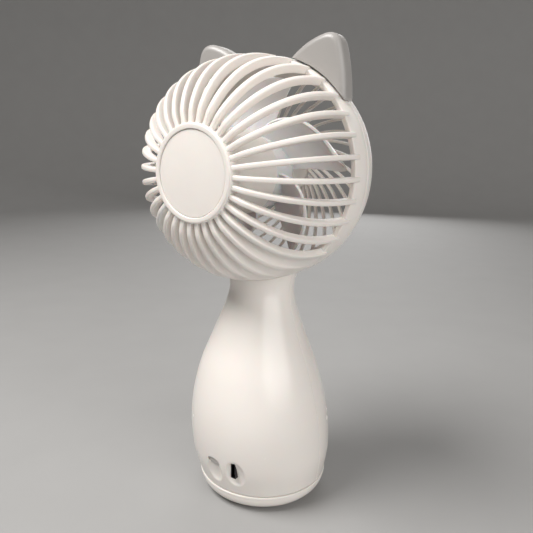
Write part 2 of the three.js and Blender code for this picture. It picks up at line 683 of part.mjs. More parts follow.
function controls() {
  const plunger = rodZ(1.4, -7.2, BUTTON_STEM - GAP, 16);
  keep('power_button', placeAtButton(powerButton()), 'greyPlastic');
  keep('switch_plunger', placeAtButton(plunger), 'darkPlastic');
  keep('switch_body', placeAtButton(switchBody()), 'darkPlastic');
  keep('switch_board', placeAtButton(switchBoard()), 'board');
}

// ---------- charging ----------
function chargeBoard() {
  const board = box(-13, 8, CHARGE_BOARD_Y, CHARGE_BOARD_Y + BOARD_THICK, 12.5, 30.5);
  return cut(board, ...rodsAt(CHARGE_STAKES, PIN_RADIUS + GAP, CHARGE_BOARD_Y - 1, CHARGE_BOARD_Y + 3));
}

function usbPort() {
  const { halfWidth, halfHeight } = PORT;
  const wall = 0.3;
  const back = CHARGE_BOARD_Y + BOARD_THICK + GAP;
  const mouth = back + 7;
  const can = box(-halfWidth, halfWidth, back, mouth, -halfHeight, halfHeight);
  const [roomX, roomZ] = [halfWidth - wall, halfHeight - wall];
  return cut(can, box(-roomX, roomX, back + 2 * wall, mouth + 1, -roomZ, roomZ));
}

function charging() {
  const tongue = box(-0.35, 0.35, 26.6, 31.2, -2.7, 2.7);
  const led = box(-1.4, 1.4, 25.5, 26.7, -0.8, 0.8);
  const lens = oval(LENS.halfWidth, LENS.halfHeight, 27.1, 33);
  keep('charge_board', chargeBoard(), 'board');
  keep('usb_port', usbPort().translate(PORT.x, 0, PORT.z), 'steel');
  keep('usb_tongue', tongue.translate(PORT.x, 0, PORT.z), 'darkPlastic');
  keep('indicator_led', led.translate(LENS.x, 0, LENS.z), 'led');
  keep('indicator_lens', lens.translate(LENS.x, 0, LENS.z), 'lens');
}

// ---------- battery, drawn about the middle of the cell's lower end ----------
function batteryCradle() {
  const inner = CELL_RADIUS + GAP;
  const outer = inner + CRADLE_WALL;
  const [low, high] = [-CRADLE_END, CELL_LENGTH + CRADLE_END];
  const [bottom, top] = [low - CRADLE_WALL, high + CRADLE_WALL];
  const tube = rodZ(outer, bottom, top, 32);
  const room = rodZ(inner, low, high, 32);
  const opening = box(-outer, outer, 2, outer + 1, bottom - 1, top + 1);
  const tabSlots = [[bottom - 1, low + 0.1], [high - 0.1, top + 1]].map(([from, to]) =>
    box(-2.6, 2.6, -3, outer, from, to));
  return cut(tube, room, opening, ...tabSlots);
}

const batteryTab = (z) => box(-2.2, 2.2, -2.6, CELL_RADIUS + 2.6, z, z + 0.3);

function battery() {
  const pieces = [
    ['battery_cell', rodZ(CELL_RADIUS, 0, CELL_LENGTH, 36), 'cellWrap'],
    ['battery_cradle', batteryCradle(), 'cradle'],
    ['battery_tab_positive', batteryTab(CELL_LENGTH + GAP), 'steel'],
    ['battery_tab_negative', batteryTab(-CRADLE_END), 'steel'],
  ];
  pieces.forEach(([name, geometry, look]) => keep(name, geometry.translate(...CELL_AT), look));
}

// ---------- leads ----------
// out of the motor housing, down inside the dome, through the neck and on to the switch board
function motorLeadPath(side) {
  const housing = [[4.5, 42.8, 4.2], [2.2, 42.8, 10]];
  const dome = [[41.6, 15.6], [39.8, 20], [36, 28], [27, 36], [16, 39.2], [10.4, 41], [LEAD_HOLE.y, 45]];
  const handle = [[1.4, 9.2, 51], [2.5, 6, 61.4], [3, -2, 70.4], [3, -7.2, 76.9]];
  const domeX = LEAD_HOLE.x + side * (LEAD_RADIUS + 0.45);
  return [
    ...housing.map(([x, y, below]) => [side * x, y, HEAD_Z - below]),
    ...dome.map(([y, below]) => [domeX, y, HEAD_Z - below]),
    ...handle.map(([x, y, below]) => [side * x, y, HEAD_Z - below]),
  ];
}

// from the free end of a battery tab to the charging board
function batteryLeadPath(side) {
  const tabEnd = CELL_AT.y + CELL_RADIUS + 3.6;
  const cellTop = CELL_AT.z + CELL_LENGTH;
  const boardY = CHARGE_BOARD_Y - 0.9;
  return side > 0
    ? [[CELL_AT.x, tabEnd, cellTop + 0.4], [3, 14.6, 62], [1.5, 15.4, 48], [-1, 19.5, 32], [-1, boardY, 27]]
    : [[CELL_AT.x, tabEnd, CELL_AT.z - 0.5], [1, 15, 18.2], [-5, 19.5, 17.8], [-5, boardY, 18.6]];
}

function leads() {
  for (const [name, side] of [['red', 1], ['black', -1]]) {
    keep(`motor_lead_${name}`, roundWire(motorLeadPath(side), LEAD_RADIUS, 22), `${name}Cover`);
    keep(`battery_lead_${name}`, roundWire(batteryLeadPath(side), LEAD_RADIUS, 14), `${name}Cover`);
  }
}

// ---------- base ----------
function baseCap() {
  const floor = FOOT_THICK + GAP;
  const top = SEAM_Z - GAP;
  const shoulder = top - 1.2; // the quarter-ellipse side ends here
  const [lipOuter, lipInner] = [27.5, 26];
  const side = repeat(6, (i) => {
    const a = (i / 5) * (Math.PI / 2);
    return [
      BASE_RADIUS - BASE_CORNER * (1 - Math.sin(a)),
      BASE_BOTTOM_Z + (shoulder - BASE_BOTTOM_Z) * (1 - Math.cos(a)),
    ];
  });
  const cup = turnZ([
    [0, floor], [FOOT_RADIUS + GAP, floor], [FOOT_RADIUS + GAP, BASE_BOTTOM_Z], ...side,
    [BASE_RADIUS - 0.1, top - 0.3], [BASE_RADIUS - 0.4, top], [lipOuter, top], [lipOuter, top + 3.3],
    [lipInner, top + 3.3], [lipInner, floor + 3.6], [21.5, floor + 2], [0, floor + 2],
  ], 40);
  const cradleBottom = CELL_AT.z - CRADLE_END - CRADLE_WALL;
  const pedestal = rodZ(4, floor + 1, cradleBottom - GAP, 24).translate(CELL_AT.x, CELL_AT.y, 0);
  const atScrews = (...rod) => BASE_SCREWS.map(([x, y]) => rodZ(...rod).translate(x, y, 0));
  const seats = atScrews(3.8, floor + 1, SEAM_Z - 1 - GAP, 20);
  const screwHoles = [...atScrews(SCREW_BORE, 0, 12), ...atScrews(2.4, 0, floor + 2.2, 16)];
  const tabGap = box(-4, 4, -1, 5, cradleBottom - 2, cradleBottom + 2).translate(CELL_AT.x, CELL_AT.y, 0);
  return cut(unite(cup, pedestal, ...seats), ...screwHoles, tabGap);
}

function footPad() {
  const edge = 0.4;
  return turnZ([
    [0, 0], [FOOT_RADIUS - edge, 0], [FOOT_RADIUS, edge], [FOOT_RADIUS, FOOT_THICK], [0, FOOT_THICK],
  ]);
}

function baseScrews() {
  BASE_SCREWS.forEach(([x, y], i) => {
    const g = screw(2.1, 1.3, 10).rotateX(-Math.PI / 2).translate(x, y, FOOT_THICK + 2.4);
    keep(`base_screw_${i + 1}`, g, 'steel');
  });
}

// ---------- the fan ----------
keepOnHead('rear_grille', rearGrille(), 'whitePlastic');
keepOnHead('rear_cap', rearCap(), 'whitePlastic');
keepOnHead('front_grille', frontGrille(), 'whitePlastic');
keepOnHead('front_badge', frontBadge(), 'greyPlastic');
keepOnHead('ear_left', ear(1), 'greyPlastic');
keepOnHead('ear_right', ear(-1), 'greyPlastic');
keepOnHead('motor_housing', motorHousing(), 'whitePlastic');
motorParts();
headScrews();
keepOnHead('impeller', impeller(), 'blade');

keep('handle_front_shell', handleFrontShell(), 'whitePlastic');
keep('handle_rear_shell', handleRearShell(), 'whitePlastic');
controls();
charging();
battery();
leads();

keep('base_cap', baseCap(), 'whitePlastic');
baseScrews();
keep('foot_pad', footPad(), 'rubber');

export default fan;
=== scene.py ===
import json
import math

import bmesh
import bpy
import numpy as np
from mathutils import Matrix, Vector


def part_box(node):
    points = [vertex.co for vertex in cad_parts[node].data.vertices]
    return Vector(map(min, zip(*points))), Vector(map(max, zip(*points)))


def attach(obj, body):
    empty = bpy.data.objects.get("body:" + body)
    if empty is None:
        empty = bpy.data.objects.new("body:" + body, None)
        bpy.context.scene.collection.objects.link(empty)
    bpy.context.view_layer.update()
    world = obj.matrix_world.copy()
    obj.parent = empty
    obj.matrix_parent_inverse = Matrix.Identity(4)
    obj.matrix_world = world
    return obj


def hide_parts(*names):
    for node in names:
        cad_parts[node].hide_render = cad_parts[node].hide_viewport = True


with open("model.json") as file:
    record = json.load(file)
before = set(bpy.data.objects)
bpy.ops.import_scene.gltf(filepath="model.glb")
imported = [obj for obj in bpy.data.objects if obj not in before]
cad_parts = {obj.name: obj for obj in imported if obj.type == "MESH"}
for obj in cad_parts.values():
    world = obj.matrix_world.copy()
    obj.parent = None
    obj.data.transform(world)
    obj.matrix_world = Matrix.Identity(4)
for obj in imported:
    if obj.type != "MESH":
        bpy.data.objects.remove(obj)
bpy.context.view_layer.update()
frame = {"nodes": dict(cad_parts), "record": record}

MM = 0.001
TURN = 2 * math.pi


# ---------- sizes read from the frame, in millimetres ----------
def span(node):
    """Lowest and highest corner of a node."""
    low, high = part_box(node)
    return low / MM, high / MM


def middle(node):
    low, high = span(node)
    return (low + high) / 2


GAP = 0.3  # clearance between touching pieces
SHARP_DEGREES = 38  # edges that turn more than this stay crisp
HEAD_Z = middle("rear_cap").z
CAP_RADIUS = span("rear_cap")[1].z - HEAD_Z
CAP_FRONT_Y, CAP_REAR_Y = (corner.y for corner in span("rear_cap"))
DISC_Y = CAP_REAR_Y + 1
PARTING_Y = span("front_grille")[1].y + GAP
GUARD_FRONT_Y = span("front_grille")[0].y - 0.2

CAGE_RADIUS = span("rear_grille")[1].z - HEAD_Z + 0.1
CAGE_WIDEST_Y = PARTING_Y + 4.7
CAGE_LENGTH = DISC_Y - 1.7
CAGE_POWER = 2.65  # how boxy the dome curve is: 2 is an ellipse
BAND_BACK_Y = CAGE_WIDEST_Y + 5
BAND_WALL = 2.8
FRONT_FACE_Y = GUARD_FRONT_Y + 3

RIB_COUNT = 34
RIB_THICK = 2
RIB_DEPTH = 3.1  # from the outer edge of a rib inward
RIB_START_Y = BAND_BACK_Y - 2.7
RIB_PHASE = math.radians(107.7)
RIB_PITCH = TURN / RIB_COUNT
BELLY_FROM = 11  # ribs between which the dome is closed over the neck
BELLY_TO = 20
SLIT_FLUTE = BELLY_FROM + 5  # the flute that has a short slit in it

DISC_RADIUS = CAP_RADIUS + 2.5
DISC_RIM = 2.2
RIB_REACH = DISC_RADIUS - 0.8  # the ribs end just inside the disc's edge

GUARD_HUB = 11.5
GUARD_WIRES = 36

SEAM_Z = span("handle_rear_shell")[0].z + 1  # its screw boss reaches 1 mm below the seam
HANDLE_WALL = 2.2
HANDLE_HEIGHT = 99
HANDLE_BOW = 4.9  # how far the handle centreline swings to the rear
HANDLE_BOW_SPAN = 116.8  # height over which that swing comes and goes
# (height above the seam, radius) at a few places along the bottle shape
HANDLE_RADII = [(0, 30.1), (14, 32.4), (33, 31.6), (52.5, 27.2), (70, 20.4), (87, 14.7), (99, 15.8)]
NECK_Y = 3.5
NECK_RADIUS = 11.2

BASE_RADIUS = span("base_cap")[1].x
BASE_BOTTOM_Z = span("base_cap")[0].z
FOOT_RADIUS = span("foot_pad")[1].x
FOOT_TOP_Z = span("foot_pad")[1].z

HOUSING_RADIUS = span("motor_housing")[1].z - HEAD_Z
HOUSING_FRONT_Y, HOUSING_REAR_Y = (corner.y for corner in span("motor_housing"))

HUB_RADIUS = HOUSING_RADIUS - 1.6
HUB_FRONT_Y = 2
BLADE_COUNT = 5
BLADE_TIP_RADIUS = 38
BLADE_THICK = 1.2
BLADE_PHASE = math.radians(107)

PORT = middle("usb_port")
PORT_WIDTH = 2.65
PORT_HEIGHT = 7.65
LENS = middle("indicator_lens")
LENS_HALF_X = 3.3
LENS_HALF_Z = 1.8
BUTTON_HEIGHT = 58
BUTTON_RADIUS = 5.6


# ---------- shape helpers: a shape is (points, faces), in millimetres ----------
def smoothstep(low, high, value):
    t = np.clip((np.asarray(value, float) - low) / (high - low), 0, 1)
    return t * t * (3 - 2 * t)


def edge_drop(distance, radius):
    """Fall of a rounded edge at a distance from it."""
    inside = np.clip(radius - distance, 0, radius)
    return radius - np.sqrt(radius ** 2 - inside ** 2)


def smooth_through(pairs):
    """Smooth curve through (position, value) pairs."""
    at, value = np.array(pairs, float).T
    slope = np.gradient(value, at)
    slope[1:-1] = (value[2:] - value[:-2]) / (at[2:] - at[:-2])

    def curve(x):
        i = np.clip(np.searchsorted(at, x, side="right") - 1, 0, len(at) - 2)
        width = at[i + 1] - at[i]
        t = (x - at[i]) / width
        rise = t * t * (3 - 2 * t)
        bend = t * (1 - t) * width * (slope[i] * (1 - t) - slope[i + 1] * t)
        return value[i] + (value[i + 1] - value[i]) * rise + bend

    return curve


def filleted(corners, closed=False, steps=5):
    """Outline through (x, y) corners; a third number rounds that corner to a radius."""
    points = []
    for i, corner in enumerate(corners):
        here = np.array(corner[:2], float)
        at_end = not closed and i in (0, len(corners) - 1)
        if len(corner) < 3 or at_end:
            points.append(here)
            continue
        radius = corner[2]
        back = np.array(corners[i - 1][:2], float) - here
        ahead = np.array(corners[(i + 1) % len(corners)][:2], float) - here
        back /= np.linalg.norm(back)
        ahead /= np.linalg.norm(ahead)
        half = math.acos(np.clip(back @ ahead, -1, 1)) / 2
        centre = here + (back + ahead) / np.linalg.norm(back + ahead) * radius / math.sin(half)
        first = here + back * radius / math.tan(half) - centre
        last = here + ahead * radius / math.tan(half) - centre
        sweep = math.pi - 2 * half
        for t in np.linspace(0, 1, steps + 1):
            arm = first * math.sin((1 - t) * sweep) + last * math.sin(t * sweep)
            points.append(centre + arm / math.sin(sweep))
    return np.array(points)


def grid_faces(rows, columns, wrap_rows=False, wrap_columns=False):
    """Four-cornered faces over a grid of points, closed round on itself where it wraps."""
    faces = []
    for i in range(rows if wrap_rows else rows - 1):
        for j in range(columns if wrap_columns else columns - 1):
            down = (i + 1) % rows
            right = (j + 1) % columns
            here, below = i * columns, down * columns
            faces.append((here + j, here + right, below + right, below + j))
    return faces


def turned(profile, around=96):
    """Outline of (radius, y) points turned about the Y axis; it closes on the axis or on itself."""
    profile = np.array(profile, float)
    angles = np.arange(around) * TURN / around
    radius, y = profile.T
    grid = np.stack([
        np.outer(np.cos(angles), radius),
        np.broadcast_to(y, (around, len(y))),
        np.outer(np.sin(angles), radius),
    ], axis=-1)
    is_ring = radius[0] > 0
    return grid.reshape(-1, 3), grid_faces(around, len(y), wrap_rows=True, wrap_columns=is_ring)


def turned_upright(profile, around=96):
    """The same about the Z axis, with (radius, z) points."""
    points, faces = turned(profile, around)
    return points[:, [0, 2, 1]], faces


def lofted(rings):
    """Closed solid through equal-length closed sections."""
    rings = np.array(rings)
    count, size = rings.shape[:2]
    faces = grid_faces(count, size, wrap_columns=True)
    faces.append(tuple(range(size)))
    faces.append(tuple(range((count - 1) * size, count * size)))
    return rings.reshape(-1, 3), faces


def slab(front, back):
    """Closed sheet between two equal grids of points."""
    rows, columns = front.shape[:2]
    offset = rows * columns
    faces = grid_faces(rows, columns)
    faces += [tuple(offset + i for i in face) for face in faces]
    rim = [(0, j) for j in range(columns - 1)]
    rim += [(i, columns - 1) for i in range(rows - 1)]
    rim += [(rows - 1, j) for j in range(columns - 1, 0, -1)]
    rim += [(i, 0) for i in range(rows - 1, 0, -1)]
    index = [i * columns + j for i, j in rim]
    for a, b in zip(index, index[1:] + index[:1]):
        faces.append((a, b, offset + b, offset + a))
    return np.concatenate([front.reshape(-1, 3), back.reshape(-1, 3)]), faces


def joined(*shapes):
    """Several shapes as one list of points and faces."""
    points, faces, start = [], [], 0
    for shape_points, shape_faces in shapes:
        points.append(shape_points)
        faces += [tuple(start + i for i in face) for face in shape_faces]
        start += len(shape_points)
    return np.concatenate(points), faces


def moved(shape, x=0, y=0, z=0):
    points, faces = shape
    return points + np.array([x, y, z]), faces


def on_head(shape):
    return moved(shape, z=HEAD_Z)


def rounded_box(width, depth, radius, steps=3):
    """Section centred on 0, 0."""
    x, y = width / 2, depth / 2
    return filleted([(x, y, radius), (x, -y, radius), (-x, -y, radius), (-x, y, radius)], True, steps)


def ellipse(half_x, half_z, count=48):
    """Section centred on 0, 0."""
    turn = np.linspace(0, TURN, count + 1)[:-1]
    return np.stack([half_x * np.cos(turn), half_z * np.sin(turn)], axis=-1)


# ---------- making pieces ----------
def new_mesh(name, shape, sharp_degrees):
    points, faces = shape
    mesh = bpy.data.meshes.new(name)
    mesh.from_pydata((points * MM).tolist(), [], faces)
    bm = bmesh.new()
    bm.from_mesh(mesh)
    bmesh.ops.remove_doubles(bm, verts=bm.verts, dist=1e-7)
    bmesh.ops.recalc_face_normals(bm, faces=bm.faces)
    bm.to_mesh(mesh)
    bm.free()
    mesh.shade_smooth()
    mesh.set_sharp_from_angle(angle=math.radians(sharp_degrees))
    return mesh


def piece(name, shape, body, material, stands_for, sharp_degrees=SHARP_DEGREES):
    mesh = new_mesh(name, shape, sharp_degrees)
    mesh.materials.append(material)
    obj = bpy.data.objects.new(name, mesh)
    bpy.context.scene.collection.objects.link(obj)
    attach(obj, body)
    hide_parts(*stands_for)
    return obj


def cut_out(obj, tool_shape):
    """Takes a closed shape out of a piece."""
    tool = bpy.data.objects.new("tool", new_mesh("tool", tool_shape, 30))
    bpy.context.scene.collection.objects.link(tool)
    boolean = obj.modifiers.new("cut", "BOOLEAN")
    boolean.operation = "DIFFERENCE"
    boolean.solver = "EXACT"
    boolean.object = tool
    bpy.context.view_layer.update()
    cut = obj.evaluated_get(bpy.context.evaluated_depsgraph_get())
    result = bpy.data.meshes.new_from_object(cut)
    obj.modifiers.remove(boolean)
    obj.data = result
    obj.data.shade_smooth()
    obj.data.set_sharp_from_angle(angle=math.radians(SHARP_DEGREES))
    bpy.data.objects.remove(tool)


def soften(obj, width, segments=2):
    """Small rounded edges on a piece."""
    bevel = obj.modifiers.new("edges", "BEVEL")
    bevel.width = width * MM
    bevel.segments = segments
    bevel.limit_method = "ANGLE"
    bevel.angle_limit = math.radians(40)
    bevel.use_clamp_overlap = True


# ---------- materials ----------
class Look:
    """One procedural material, built around a Principled shader."""

    def __init__(self, name):
        self.material = bpy.data.materials.new(name)
        self.material.use_nodes = True
        self.tree = self.material.node_tree
        self.shader = self.tree.nodes["Principled BSDF"]
        self.place = self.add("ShaderNodeTexCoord").outputs["Object"]
        self.bumps = None

    def add(self, kind, **settings):
        node = self.tree.nodes.new(kind)
        for key, value in settings.items():
            setattr(node, key, value)
        return node

    def link(self, source, target):
        self.tree.links.new(source, target)

    def noise(self, size_mm, detail=3, stretch=(1, 1, 1)):
        """Soft random pattern with features of about that size."""
        mapping = self.add("ShaderNodeMapping")
        mapping.inputs["Scale"].default_value = stretch
        self.link(self.place, mapping.inputs["Vector"])
        noise = self.add("ShaderNodeTexNoise")
        noise.inputs["Scale"].default_value = 1 / (size_mm * MM)
        noise.inputs["Detail"].default_value = detail
        self.link(mapping.outputs["Vector"], noise.inputs["Vector"])
        return noise.outputs["Fac"]

    def between(self, value, low, high, to_low, to_high):
        """Carries a value from one range over to another."""
        node = self.add("ShaderNodeMapRange")
        ends = {"From Min": low, "From Max": high, "To Min": to_low, "To Max": to_high}
        for name, number in ends.items():
            node.inputs[name].default_value = number
        self.link(value, node.inputs["Value"])
        return node.outputs["Result"]

    def blend(self, factor, first, second):
        """Mix of two colours or colour outputs."""
        node = self.add("ShaderNodeMix", data_type="RGBA")
        colour_sockets = [s for s in node.inputs if s.type == "RGBA"]
        self.link(factor, node.inputs["Factor"])
        for socket, colour in zip(colour_sockets, (first, second)):
            if isinstance(colour, tuple):
                socket.default_value = (*colour, 1)
            else:
                self.link(colour, socket)
        return next(s for s in node.outputs if s.type == "RGBA")

    def edges(self, width=0.06):
        """1 on worn convex edges, 0 on flat and hollow parts."""
        point = self.add("ShaderNodeNewGeometry").outputs["Pointiness"]
        return self.between(point, 0.5 + width / 3, 0.5 + width * 2, 0, 1)

    def bump(self, height, depth_mm, strength=1):
        node = self.add("ShaderNodeBump")
        node.inputs["Strength"].default_value = strength
        node.inputs["Distance"].default_value = depth_mm * MM
        self.link(height, node.inputs["Height"])
        if self.bumps:
            self.link(self.bumps, node.inputs["Normal"])
        self.bumps = node.outputs["Normal"]
        self.link(self.bumps, self.shader.inputs["Normal"])

    def constants(self, **values):
        """Plain shader settings, with _ for each space in a socket's name."""
        for name, value in values.items():
            self.shader.inputs[name.replace("_", " ")].default_value = value

    def colour(self, source):
        self.link(source, self.shader.inputs["Base Color"])

    def roughness(self, source, low, high):
        """Patchy shine: a noise output spread between two roughness values."""
        self.link(self.between(source, 0.3, 0.7, low, high), self.shader.inputs["Roughness"])


def lighter(colour, amount):
    return tuple(min(1, c * amount) for c in colour)


def moulded(name, colour, roughness, grain_mm=0.35, grain_depth=0.012, drift=0.03,
            edge_light=1.05, **constants):
    """Moulded surface: slow colour drift, gentle waviness, fine grain and rubbed edges."""
    look = Look(name)
    drifting = look.blend(look.noise(9, 4), lighter(colour, 1 - drift), lighter(colour, 1 + drift))
    look.colour(look.blend(look.edges(), drifting, lighter(colour, edge_light)))
    look.roughness(look.noise(14, 5), roughness * 0.9, roughness * 1.1)
    look.bump(look.noise(7, 2), 0.03, 0.5)
    look.bump(look.noise(grain_mm, 3), grain_depth, 0.6)
    look.constants(**constants)
    return look.material


def brushed(name, colour, roughness, stretch=(1, 1, 1), drift=0.06):
    """Metal with fine drawn lines and patchy shine."""
    look = Look(name)
    tone = look.blend(look.noise(3, 4), lighter(colour, 1 - drift), lighter(colour, 1 + drift))
    look.colour(look.blend(look.edges(), tone, lighter(colour, 1.25)))
    look.roughness(look.noise(1.2, 4, stretch), roughness * 0.7, roughness * 1.35)
    look.bump(look.noise(0.15, 2, stretch), 0.006, 0.5)
    look.constants(Metallic=1)
    return look.material


def circuit_board(name):
    """Solder mask with faint tracks under it."""
    look = Look(name)
    tracks = look.add("ShaderNodeTexBrick")
    tracks.inputs["Scale"].default_value = 220
    tracks.inputs["Color1"].default_value = (0.012, 0.09, 0.045, 1)
    tracks.inputs["Color2"].default_value = (0.015, 0.11, 0.055, 1)
    tracks.inputs["Mortar"].default_value = (0.03, 0.16, 0.08, 1)
    look.link(look.place, tracks.inputs["Vector"])
    look.colour(look.blend(look.noise(2), tracks.outputs["Color"], (0.02, 0.12, 0.06)))
    look.roughness(look.noise(1.5), 0.28, 0.5)
    look.bump(tracks.outputs["Fac"], 0.02, 0.4)
    return look.material


WHITE = (0.81, 0.765, 0.72)
GREY = (0.34, 0.325, 0.31)

white_gloss = moulded("white_gloss", WHITE, 0.25, grain_depth=0.004, drift=0.012,
                      Subsurface_Weight=0.12, Subsurface_Scale=0.0012,
                      Coat_Weight=0.15, Coat_Roughness=0.2)
white_satin = moulded("white_satin", WHITE, 0.36, drift=0.025,
                      Subsurface_Weight=0.12, Subsurface_Scale=0.0012)
grey_satin = moulded("grey_satin", GREY, 0.36, grain_mm=0.25, grain_depth=0.015, drift=0.04,
                     edge_light=1.3)
smoked_blade = moulded("smoked_blade", (0.74, 0.735, 0.735), 0.22, grain_depth=0.004, drift=0.02,
                       edge_light=1.7, Subsurface_Weight=0.35, Subsurface_Scale=0.002,
                       Coat_Weight=0.3, Coat_Roughness=0.1)
frosted_lens = moulded("frosted_lens", (0.56, 0.535, 0.51), 0.4, grain_mm=0.12, edge_light=1.2,
                       Transmission_Weight=0.15)
rubber = moulded("foot_rubber", (0.30, 0.29, 0.28), 0.75, grain_mm=0.3, grain_depth=0.05, drift=0.1)
black_plastic = moulded("black_plastic", (0.018, 0.018, 0.02), 0.45, drift=0.2, edge_light=2)
cradle_plastic = moulded("cradle_plastic", (0.66, 0.63, 0.59), 0.5, drift=0.04)
cell_wrap = moulded("cell_wrap", (0.035, 0.16, 0.38), 0.32, grain_mm=1.2, grain_depth=0.02, drift=0.08)
led_resin = moulded("led_resin", (0.8, 0.76, 0.55), 0.3, Transmission_Weight=0.2)
red_cover = moulded("red_cover", (0.42, 0.018, 0.012), 0.42, drift=0.08)
black_cover = moulded("black_cover", (0.014, 0.014, 0.015), 0.42, drift=0.2, edge_light=1.8)
# the charging port's metal is near black: painted shade standing for the dark inside of the slot
port_metal_painted_shade = brushed("port_metal_painted_shade", (0.05, 0.05, 0.055), 0.35)
steel = brushed("steel", (0.52, 0.53, 0.55), 0.3, stretch=(1, 8, 1))
bronze = brushed("bronze", (0.45, 0.30, 0.11), 0.36)
board_green = circuit_board("board_green")


# ---------- head curves ----------
def dome_point(t, inset):
    """(radius, y) on the rear dome: t = 0 at the widest plane, 90 degrees at the tip."""
    radius = (CAGE_RADIUS - inset) * np.cos(t) ** (2 / CAGE_POWER)
    y = CAGE_WIDEST_Y + (CAGE_LENGTH - inset) * np.sin(t) ** (2 / CAGE_POWER)
    return radius, y


def dome_angle_at_y(y, inset):
    return np.arcsin(((y - CAGE_WIDEST_Y) / (CAGE_LENGTH - inset)) ** (CAGE_POWER / 2))


def dome_angle_at_radius(radius, inset):
    return np.arccos((radius / (CAGE_RADIUS - inset)) ** (CAGE_POWER / 2))


def head_radius(y):
    """Radius of the head's outer skin at a given y."""
    front = [(FRONT_FACE_Y, 5.7), (FRONT_FACE_Y + 1.9, 3), (FRONT_FACE_Y + 5.1, 1.6),
             (FRONT_FACE_Y + 8.5, 1), (PARTING_Y, 0.3), (CAGE_WIDEST_Y, 0)]
    at, inset = np.array(front).T
    behind = np.clip((y - CAGE_WIDEST_Y) / CAGE_LENGTH, 0, 1)
    dome = np.cos(np.arcsin(behind ** (CAGE_POWER / 2))) ** (2 / CAGE_POWER) * CAGE_RADIUS
    return np.where(y > CAGE_WIDEST_Y, dome, CAGE_RADIUS - np.interp(y, at, inset))


def rib_angle(number):
    return RIB_PHASE + number * RIB_PITCH


def tuck(radius):
    """How far the ribs dip as they run in under the disc rim."""
    return 0.9 * smoothstep(DISC_RADIUS + 6, DISC_RADIUS, radius)


# ---------- rear half of the cage ----------
def rib(angle):
    """Thin deep fin along the dome, rounded off where it starts beside the band."""
    steps = 40
    end_fillet = 0.5
    lines = []
    for inset in (0, RIB_DEPTH):
        first = dome_angle_at_y(RIB_START_Y + end_fillet, inset)
        last = dome_angle_at_radius(RIB_REACH, inset)
        radius, y = dome_point(np.linspace(first, last, steps), inset)
        lines.append(np.stack([radius, y - (tuck(radius) if inset == 0 else 0)], axis=-1))
    outer, inner = lines
    corner_out, corner_in = 0.65, 0.4
    half = RIB_THICK / 2
    start = outer[1] - outer[0]
    start /= np.linalg.norm(start)
    rings = []

    def ring(top, bottom, trim):
        down = bottom - top
        depth = np.linalg.norm(down)
        down /= depth
        side = half - trim
        outward, inward = corner_out * (1 - trim), corner_in * (1 - trim)
        section = filleted([
            (side, trim, outward), (side, depth - trim, inward),
            (-side, depth - trim, inward), (-side, trim, outward),
        ], True, 4)
        across, into = section.T
        radius, y = top[0] + down[0] * into, top[1] + down[1] * into
        return np.stack([
            radius * math.cos(angle) - across * math.sin(angle),
            y,
            radius * math.sin(angle) + across * math.cos(angle),
        ], axis=-1)

    # the first few sections grow along a quarter round
    for turn in (0, 0.35, 0.7, 1.1):
        back = start * end_fillet * math.cos(turn)
        rings.append(ring(outer[0] - back, inner[0] - back, end_fillet * (1 - math.sin(turn))))
    rings += [ring(outer[k], inner[k], 0) for k in range(steps)]
    return lofted(rings)


def belly_columns():
    """(rib number, place across that rib, place across the flute after it) for each column of points."""
    on_crest = np.array([0, 0.45, 0.75, 0.92])
    in_flute = np.array([0, 0.05, 0.13, 0.25, 0.38, 0.44, 0.48, 0.52, 0.56, 0.62, 0.75, 0.87, 0.95, 1])
    columns = []
    for number in range(BELLY_FROM, BELLY_TO):
        columns += [(number, across, None) for across in on_crest]
        columns += [(number, 1, flute) for flute in in_flute]
        columns += [(number + 1, -across, None) for across in on_crest[::-1][:-1]]
    columns.append((BELLY_TO, 0, None))
    return columns


def belly():
    """Closed fluted part of the dome over the neck; the flutes fade out toward the neck."""
    rows = 96
    half = RIB_THICK / 2
    crest_fall = 0.25
    shallow, deep = 0.1, 2.6
    slit_depth = 2.4
    first = dome_angle_at_y(RIB_START_Y + 0.4, 0)
    last = dome_angle_at_radius(RIB_REACH, 0)
    dome = np.linspace(first, last, rows)
    radius, y = dome_point(dome, 0)
    inner_radius, inner_y = dome_point(dome, RIB_DEPTH)
    front, back = [], []
    for number, across, flute in belly_columns():
        angle = rib_angle(number) + half * across / radius
        fall = crest_fall * abs(across) ** 4
        if flute is not None:
            angle = angle + flute * (RIB_PITCH - 2 * half / radius)
        x, z = radius * np.cos(angle), radius * np.sin(angle)
        from_neck = np.hypot(x, y - NECK_Y)
        fluting = smoothstep(22, 52, from_neck)
        inset = fall * (0.3 + 0.7 * fluting) + tuck(radius)
        if flute is not None:
            inset = inset + math.sin(math.pi * flute) ** 0.5 * (shallow + deep * fluting)
            if number == SLIT_FLUTE and 0.47 < flute < 0.53:
                slit = smoothstep(21, 24, from_neck) * smoothstep(36, 33, from_neck)
                inset = inset + slit_depth * slit
        scale = 1 - inset / radius
        depth_y = inset * (y - CAGE_WIDEST_Y) / CAGE_LENGTH
        front.append(np.stack([x * scale, y - depth_y, z * scale], axis=-1))
        inner_x, inner_z = inner_radius * np.cos(angle), inner_radius * np.sin(angle)
        back.append(np.stack([inner_x, inner_y, inner_z], axis=-1))
    return slab(np.array(front), np.array(back))


def rear_band():
    """Wide ring from the parting line to where the ribs start."""
    outer = CAGE_RADIUS
    inner = CAGE_RADIUS - BAND_WALL
    profile = filleted([
        (inner, PARTING_Y, 0.3), (outer - 0.3, PARTING_Y, 0.5), (outer - 0.1, PARTING_Y + 2.5, 12),
        (outer - 0.5, PARTING_Y + 6.5, 12), (outer - 1, BAND_BACK_Y, 0.6),
        (inner - 0.4, BAND_BACK_Y, 0.6),
    ], True)
    return turned(profile, 204)


